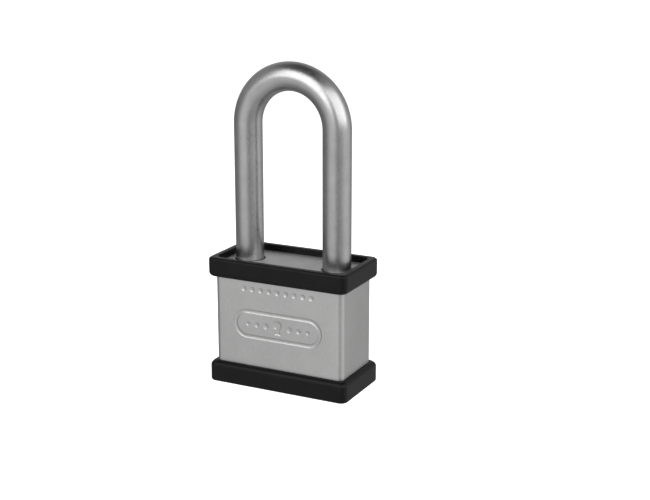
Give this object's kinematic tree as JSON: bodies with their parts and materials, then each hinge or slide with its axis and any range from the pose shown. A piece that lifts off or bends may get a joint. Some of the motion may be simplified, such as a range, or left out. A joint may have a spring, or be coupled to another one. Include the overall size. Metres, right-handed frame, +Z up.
{
  "type": "padlock",
  "caption": "Long-shackle padlock: rectangular satin steel case with black end bumpers, a round steel shackle, ball locking and a pin tumbler cylinder.",
  "frame": {"origin": "centre of the lower bumper's resting face, under the middle of the case", "axes": "+Z up towards the shackle's arch, +X along the case's width towards the short, free leg, -Y towards the front face"},
  "size_m": [0.054, 0.0276, 0.1142],
  "materials": {
    "satin_steel": "satin nickel, finely blasted",
    "black_plastic": "moulded, semi-matte",
    "shackle_steel": "satin chrome on hardened steel",
    "brass": "machined",
    "hard_steel": "ground and hardened",
    "spring_steel": "drawn wire"
  },
  "bodies": {
    "root": {"case": "satin_steel", "lock_block": "brass", "top_plate": "satin_steel", "bottom_plate": "satin_steel", "plate_dowels": "hard_steel", "base_rivets": "satin_steel", "top_bumper": "black_plastic", "bottom_bumper": "black_plastic", "cylinder_body": "brass", "chamber_cover": "brass", "cylinder_screw": "hard_steel", "shackle_spring": "spring_steel", "pin_spring_1": "spring_steel", "pin_spring_2": "spring_steel", "pin_spring_3": "spring_steel", "pin_spring_4": "spring_steel", "pin_spring_5": "spring_steel"},
    "plunger": {"shackle_plunger": "hard_steel"},
    "shackle": {"shackle": "shackle_steel"},
    "plug": {"plug": "brass", "plug_clip": "spring_steel", "drill_guard": "hard_steel", "locking_cam": "hard_steel"},
    "left_ball": {"left_ball": "hard_steel"},
    "right_ball": {"right_ball": "hard_steel"},
    "key_pin_1": {"key_pin_1": "brass"},
    "driver_pin_1": {"driver_pin_1": "hard_steel"},
    "key_pin_2": {"key_pin_2": "brass"},
    "driver_pin_2": {"driver_pin_2": "hard_steel"},
    "key_pin_3": {"key_pin_3": "brass"},
    "driver_pin_3": {"driver_pin_3": "hard_steel"},
    "key_pin_4": {"key_pin_4": "brass"},
    "driver_pin_4": {"driver_pin_4": "hard_steel"},
    "key_pin_5": {"key_pin_5": "brass"},
    "driver_pin_5": {"driver_pin_5": "hard_steel"}
  },
  "joints": [
    {"name": "shackle_lift", "type": "slide", "parent": "root", "child": "plunger", "axis": [0, 0, 1], "range_m": [0, 0.0155], "deforming": ["shackle_spring"]},
    {"name": "shackle_swivel", "type": "hinge", "parent": "plunger", "child": "shackle", "pos_m": [-0.0172, 0, 0.015], "axis": [0, 0, 1], "range_deg": [-0.4, 0.4]},
    {"name": "plug_turn", "type": "hinge", "parent": "root", "child": "plug", "pos_m": [0, 0, 0.0016], "axis": [0, 0, 1], "range_deg": [-90, 0]},
    {"name": "left_ball_slide", "type": "slide", "parent": "root", "child": "left_ball", "axis": [-1, 0, 0], "range_m": [0, 0.0014]},
    {"name": "right_ball_slide", "type": "slide", "parent": "root", "child": "right_ball", "axis": [1, 0, 0], "range_m": [0, 0.0024]},
    {"name": "key_pin_1_slide", "type": "slide", "parent": "plug", "child": "key_pin_1", "axis": [0, 1, 0], "range_m": [-0.0023, 0]},
    {"name": "key_pin_2_slide", "type": "slide", "parent": "plug", "child": "key_pin_2", "axis": [0, 1, 0], "range_m": [-0.0014, 0]},
    {"name": "key_pin_3_slide", "type": "slide", "parent": "plug", "child": "key_pin_3", "axis": [0, 1, 0], "range_m": [-0.0026, 0]},
    {"name": "key_pin_4_slide", "type": "slide", "parent": "plug", "child": "key_pin_4", "axis": [0, 1, 0], "range_m": [-0.0017, 0]},
    {"name": "key_pin_5_slide", "type": "slide", "parent": "plug", "child": "key_pin_5", "axis": [0, 1, 0], "range_m": [-0.0011, 0]},
    {"name": "driver_pin_1_slide", "type": "slide", "parent": "root", "child": "driver_pin_1", "axis": [1, 0, 0], "range_m": [0, 0.0012], "stiffness_N_per_m": 60, "springref_m": -0.001, "deforming": ["pin_spring_1"]},
    {"name": "driver_pin_2_slide", "type": "slide", "parent": "root", "child": "driver_pin_2", "axis": [1, 0, 0], "range_m": [0, 0.0012], "stiffness_N_per_m": 60, "springref_m": -0.001, "deforming": ["pin_spring_2"]},
    {"name": "driver_pin_3_slide", "type": "slide", "parent": "root", "child": "driver_pin_3", "axis": [1, 0, 0], "range_m": [0, 0.0012], "stiffness_N_per_m": 60, "springref_m": -0.001, "deforming": ["pin_spring_3"]},
    {"name": "driver_pin_4_slide", "type": "slide", "parent": "root", "child": "driver_pin_4", "axis": [1, 0, 0], "range_m": [0, 0.0012], "stiffness_N_per_m": 60, "springref_m": -0.001, "deforming": ["pin_spring_4"]},
    {"name": "driver_pin_5_slide", "type": "slide", "parent": "root", "child": "driver_pin_5", "axis": [1, 0, 0], "range_m": [0, 0.0012], "stiffness_N_per_m": 60, "springref_m": -0.001, "deforming": ["pin_spring_5"]}
  ],
  "couplings": [
    {"joint": "left_ball_slide", "follows": "plug_turn", "m_per_rad": -0.00089},
    {"joint": "right_ball_slide", "follows": "plug_turn", "m_per_rad": -0.001527}
  ]
}
